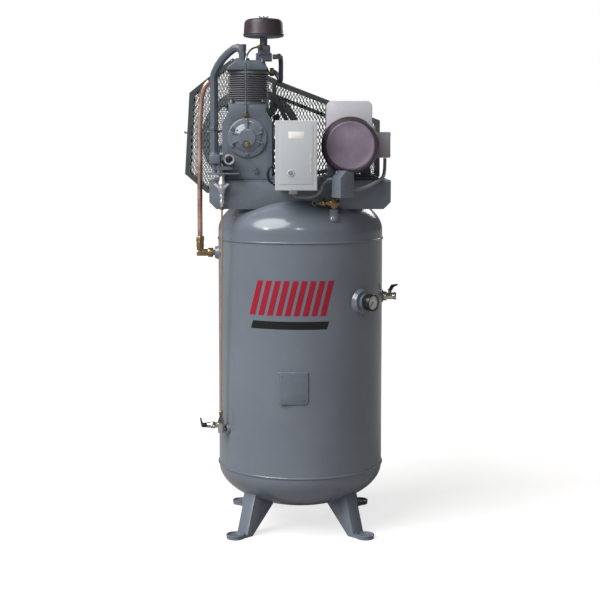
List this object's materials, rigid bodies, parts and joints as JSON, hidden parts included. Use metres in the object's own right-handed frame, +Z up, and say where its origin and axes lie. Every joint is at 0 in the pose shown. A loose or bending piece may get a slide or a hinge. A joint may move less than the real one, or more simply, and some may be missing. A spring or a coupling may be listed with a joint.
{
  "type": "vertical tank air compressor",
  "caption": "Belt-driven piston air compressor and motor under a mesh guard on a deck above an upright dished-end receiver tank with folded legs.",
  "frame": {"origin": "on the floor under the middle of the object's outline; the tank's axis stands 40.5 mm towards +X and 27 mm towards +Y from it", "axes": "+Z up; -Y towards the front, the side with the control box; +X towards the motor and the outlet valve"},
  "size_m": [0.8113, 0.674, 1.883],
  "materials": {
    "enamel": "semi-gloss blue-grey enamel",
    "pump_enamel": "semi-gloss blue-grey enamel over castings",
    "mauve": "semi-gloss mauve-brown enamel",
    "plum": "semi-gloss plum-brown enamel",
    "lavender": "semi-gloss pale enamel",
    "box_enamel": "semi-gloss light grey enamel",
    "guard": "matt dark grey enamel",
    "steel": "machined",
    "alloy": "cast and machined",
    "zinc": "bright zinc plate",
    "chrome": "polished",
    "brass": "machined, dulled",
    "copper": "drawn copper tube",
    "belt": "matt black",
    "black": "satin black",
    "red": "red",
    "felt": "felt"
  },
  "bodies": {
    "frame": {"aftercooler_pipe": "pump_enamel", "capacitor_cover": "lavender", "contactor": "black", "control_box_tray": "box_enamel", "crankcase": "pump_enamel", "cylinder_head": "pump_enamel", "deck_front_skirt": "enamel", "deck_plate": "enamel", "deck_rear_skirt": "enamel", "discharge_tube": "copper", "drain_tube": "copper", "drain_valve_body": "zinc", "drive_belt": "belt", "filter_cover": "plum", "filter_element": "felt", "first_stage_cylinder": "pump_enamel", "front_bearing_cover": "enamel", "guard_front_panel": "guard", "guard_rear_panel": "guard", "guard_rim": "guard", "inlet_check_valve": "brass", "intake_unloader": "pump_enamel", "intercooler_pipe": "pump_enamel", "leg_back_left": "enamel", "leg_back_right": "enamel", "leg_front_left": "enamel", "leg_front_right": "enamel", "motor_conduit": "guard", "motor_fan_cover": "mauve", "motor_junction_box": "enamel", "motor_shell": "enamel", "motor_slide_base": "enamel", "motor_stator": "steel", "outlet_valve_body": "chrome", "pilot_block": "enamel", "pilot_valve": "zinc", "pressure_gauge": "black", "pressure_switch": "enamel", "rear_main_bearing": "steel", "safety_valve_manifold": "brass", "second_stage_cylinder": "pump_enamel", "tank_bottom_head": "enamel", "tank_shell": "enamel", "tank_top_head": "enamel", "unloader_tube": "zinc"},
    "crank": {"crankshaft": "steel", "flywheel": "pump_enamel"},
    "rotor": {"motor_rotor": "steel", "motor_pulley": "pump_enamel"},
    "low_pressure_piston": {"first_stage_piston": "alloy", "first_stage_rod": "steel"},
    "high_pressure_piston": {"second_stage_piston": "alloy", "second_stage_rod": "steel"},
    "box_lid": {"control_box_lid": "box_enamel"},
    "reset": {"reset_button": "red"},
    "outlet_lever": {"outlet_valve_lever": "black"},
    "drain_lever": {"drain_valve_lever": "black"},
    "pilot_wing": {"pilot_wing_handle": "zinc"},
    "needle": {"gauge_needle": "red"},
    "safety_pull": {"safety_valve_ring": "zinc"}
  },
  "joints": [
    {"name": "crank_spin", "type": "hinge", "parent": "frame", "child": "crank", "pos_m": [-0.1485, 0.077, 1.444], "axis": [0, 1, 0], "continuous": true},
    {"name": "motor_spin", "type": "hinge", "parent": "frame", "child": "rotor", "pos_m": [0.2165, 0.077, 1.4165], "axis": [0, 1, 0], "continuous": true},
    {"name": "first_stage_stroke", "type": "slide", "parent": "frame", "child": "low_pressure_piston", "axis": [0, 0, 1], "range_m": [-0.038, 0.038]},
    {"name": "second_stage_stroke", "type": "slide", "parent": "frame", "child": "high_pressure_piston", "axis": [0, 0, 1], "range_m": [-0.038, 0.038]},
    {"name": "control_lid_hinge", "type": "hinge", "parent": "frame", "child": "box_lid", "pos_m": [-0.0485, -0.318, 1.382], "axis": [0, 0, -1], "range_deg": [0, 110]},
    {"name": "reset_press", "type": "slide", "parent": "box_lid", "child": "reset", "axis": [0, 1, 0], "range_m": [0, 0.003], "stiffness_N_per_m": 400, "springref_m": -0.002},
    {"name": "outlet_lever_turn", "type": "hinge", "parent": "frame", "child": "outlet_lever", "pos_m": [0.3758, 0.027, 0.8773], "axis": [0, 0, -1], "range_deg": [0, 90]},
    {"name": "drain_lever_turn", "type": "hinge", "parent": "frame", "child": "drain_lever", "pos_m": [-0.29905, -0.14, 0.401], "axis": [1, 0, 0], "range_deg": [0, 90]},
    {"name": "pilot_wing_turn", "type": "hinge", "parent": "frame", "child": "pilot_wing", "pos_m": [-0.2385, -0.203, 1.266], "axis": [0, 1, 0], "range_deg": [0, 90]},
    {"name": "gauge_needle_turn", "type": "hinge", "parent": "frame", "child": "needle", "pos_m": [0.29788, -0.22155, 0.859], "axis": [-0.7193, 0.6947, 0], "range_deg": [0, 270]},
    {"name": "safety_valve_pull", "type": "slide", "parent": "frame", "child": "safety_pull", "axis": [-1, 0, 0], "range_m": [0, 0.0025], "stiffness_N_per_m": 2000, "springref_m": -0.002}
  ],
  "couplings": [
    {"joint": "motor_spin", "follows": "crank_spin", "ratio": 2.3459}
  ]
}
